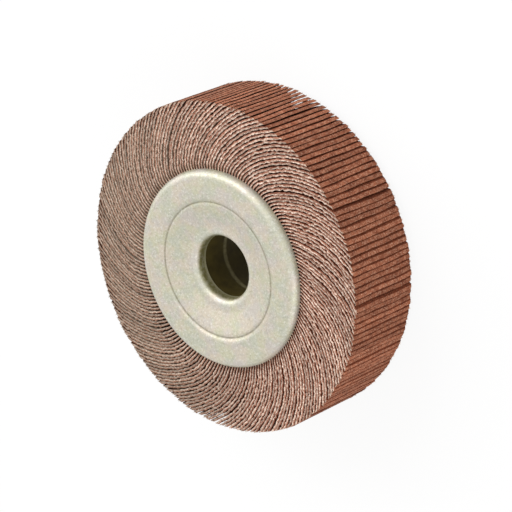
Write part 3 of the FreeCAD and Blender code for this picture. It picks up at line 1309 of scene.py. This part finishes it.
    def build_set(self, number: int, materials: Sequence[bpy.types.Material]) -> bpy.types.Object:
        """Makes one set of neighbouring flaps and gives it its finishes.

        Args:
            number: Number of the set, counted counter-clockwise from 1.
            materials: Materials in the order of Layer.

        Returns:
            The set.
        """
        sheet = MeshSheet()
        flats: list[Pair] = []
        tones: list[float] = []
        for flap in range((number - 1) * self.set_size, number * self.set_size):
            columns = [self._column(flap, row) for row in range(self.rows + 1)]
            self._add_flap(sheet, flap, columns, flats)
            self._add_fibres(sheet, flap, columns)
            flats += [(0.0, 0.0)] * (len(sheet.points) - len(flats))
            tones += [self.tones[flap]] * (len(sheet.points) - len(tones))
        piece = sheet.build(f"cloth_flaps_{number:02d}", materials, self.sharp_above)
        mesh = piece.data
        pattern = mesh.uv_layers.new(name=self.PATTERN)
        corners = [0] * len(mesh.loops)
        mesh.loops.foreach_get("vertex_index", corners)
        values = [value * MM for corner in corners for value in flats[corner]]
        pattern.uv.foreach_set("vector", values)
        mesh.attributes.new(self.TONE, "FLOAT", "POINT").data.foreach_set("value", tones)
        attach(piece, BODY)
        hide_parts(f"flap_set_{number:02d}")
        return piece

    def build(self, materials: Sequence[bpy.types.Material]) -> list[bpy.types.Object]:
        """Makes every set.

        Args:
            materials: Materials in the order of Layer.

        Returns:
            The sets in order.
        """
        sets = range(1, self.flaps // self.set_size + 1)
        return [self.build_set(number, materials) for number in sets]


# --- studio ----------------------------------------------------------------------------------


@dataclass
class Lamp:
    """One soft square lamp that looks at the wheel."""

    name: str
    place: Triple
    size: float
    watts: float

    def build(self) -> None:
        """Puts the lamp in the scene."""
        light = bpy.data.lights.new(self.name, "AREA")
        light.shape = "SQUARE"
        light.size = self.size
        light.energy = self.watts
        lamp = bpy.data.objects.new(self.name, light)
        lamp.location = self.place
        lamp.rotation_euler = (-Vector(self.place)).to_track_quat("-Z", "Y").to_euler()
        bpy.context.scene.collection.objects.link(lamp)


@dataclass
class Studio:
    """Camera, lamps, white surroundings and the pale floor that the wheel lies on."""

    camera_place: Triple = (1.04122, 0.30545, 1.07357)
    camera_turn: Triple = (-21.1942, 40.8801, -14.2398)
    lens: float = 183.1
    sensor: float = 36.0
    floor_height: float = -30.2
    floor_size: float = 6.0
    floor_white: float = 0.93
    floor_glow: float = 0.9
    world_light: float = 0.66
    lamps: tuple[Lamp, ...] = (
        Lamp("key_lamp", (-0.2, 1.35, 1.2), 1.1, 15.0),
        Lamp("side_lamp", (-1.3, 1.1, 0.85), 0.9, 10.0),
        Lamp("fill_lamp", (1.2, -1.1, 1.0), 1.6, 12.0),
    )

    def build(self) -> None:
        """Builds the whole studio."""
        self._camera()
        self._world()
        self._floor()
        for lamp in self.lamps:
            lamp.build()
        bpy.context.scene.view_settings.view_transform = "Standard"

    def _camera(self) -> None:
        """Places the camera at the photograph's viewing angle."""
        data = bpy.data.cameras.new("camera")
        data.lens = self.lens
        data.sensor_width = self.sensor
        camera = bpy.data.objects.new("camera", data)
        camera.location = self.camera_place
        camera.rotation_euler = tuple(math.radians(angle) for angle in self.camera_turn)
        bpy.context.scene.collection.objects.link(camera)
        bpy.context.scene.camera = camera

    @staticmethod
    def _seen(bench: NodeBench) -> Socket:
        """Returns 1 for a ray from the camera or off gloss or glass, and 0 for light."""
        path = bench.add("ShaderNodeLightPath").outputs
        direct = bench.sum("ADD", path["Is Camera Ray"], path["Is Glossy Ray"], clamp=True)
        return bench.sum("ADD", direct, path["Is Transmission Ray"], clamp=True)

    def _world(self) -> None:
        """Makes the surroundings plain white to look at, and a soft even light on the wheel."""
        world = bpy.data.worlds.new("white_surroundings")
        world.use_nodes = True
        world.node_tree.nodes.clear()
        bench = NodeBench(world.node_tree)
        strength = bench.sum("MULTIPLY_ADD", self._seen(bench), 1 - self.world_light)
        strength.node.inputs[2].default_value = self.world_light
        sky = bench.add("ShaderNodeBackground", {"Color": WHITE, "Strength": strength})
        bench.add("ShaderNodeOutputWorld", {"Surface": sky.outputs[0]})
        bpy.context.scene.world = world

    def _floor(self) -> None:
        """Lays the floor, which looks white and still takes the wheel's shadow."""
        material = bpy.data.materials.new("pale_floor")
        material.use_nodes = True
        material.node_tree.nodes.clear()
        bench = NodeBench(material.node_tree)
        white = self.floor_white
        matte = bench.add("ShaderNodeBsdfDiffuse", {"Color": (white, white, white, 1)})
        glow = bench.add("ShaderNodeEmission", {"Color": WHITE, "Strength": 1.0})
        share = bench.sum("MULTIPLY", self._seen(bench), self.floor_glow)
        looks = {0: share, 1: matte.outputs[0], 2: glow.outputs[0]}
        shown = bench.add("ShaderNodeMixShader", looks)
        bench.add("ShaderNodeOutputMaterial", {"Surface": shown.outputs[0]})
        half = self.floor_size / 2 / MM
        sheet = MeshSheet()
        for x, y in ((-half, -half), (half, -half), (half, half), (-half, half)):
            sheet.points.append((x, y, self.floor_height))
        sheet.add_face((0, 1, 2, 3))
        sheet.build("floor", [material], crease=30.0)


def flap_materials(effects: SurfaceEffects) -> list[bpy.types.Material]:
    """Returns the flap materials in the order of Layer.

    Args:
        effects: The shared node groups.
    """
    back = ClothFinish(
        "cloth_back", linear(186, 164, 142), linear(140, 114, 92), linear(158, 118, 96),
        swarf_and_shade_share=0.85,
    )
    # The grain coat is darker than the grain's own red-brown: painted shade, as it is mostly seen
    # deep in the gaps between flaps.
    grain = GrainFinish(
        "grain_coat", linear(106, 50, 28), linear(82, 36, 18), linear(152, 92, 64)
    )
    cut = ClothFinish(
        "cut_cloth", linear(244, 219, 201), linear(168, 139, 121), linear(150, 110, 92), pitch=1.5
    )
    cut_grain = GrainFinish(
        "cut_grain", linear(168, 112, 90), linear(124, 74, 56), linear(212, 172, 152), grain=0.5
    )
    tip = GrainFinish(
        "worn_tip", linear(160, 98, 71), linear(120, 67, 46), linear(214, 166, 138), grain=0.5
    )
    thread = ClothFinish(
        "thread_ends", linear(236, 220, 202), linear(206, 184, 162), linear(206, 180, 156),
        pitch=0.3,
    )
    return [finish.build(effects) for finish in (back, grain, cut, cut_grain, tip, thread)]


def main() -> None:
    """Builds the studio and every piece of the wheel."""
    logging.basicConfig(level=logging.INFO, format="%(message)s")
    effects = SurfaceEffects()
    Studio().build()
    zinc = ZincFinish().build(effects)
    resin = ResinFinish().build(effects)
    pieces = [Flange(side).build(zinc) for side in Side]
    pieces.append(Core().build(resin))
    pieces += FlapPack().build(flap_materials(effects))
    for piece in pieces:
        log.info("%s: %d faces", piece.name, len(piece.data.polygons))
    bpy.context.view_layer.update()


if __name__ == "__main__":
    main()
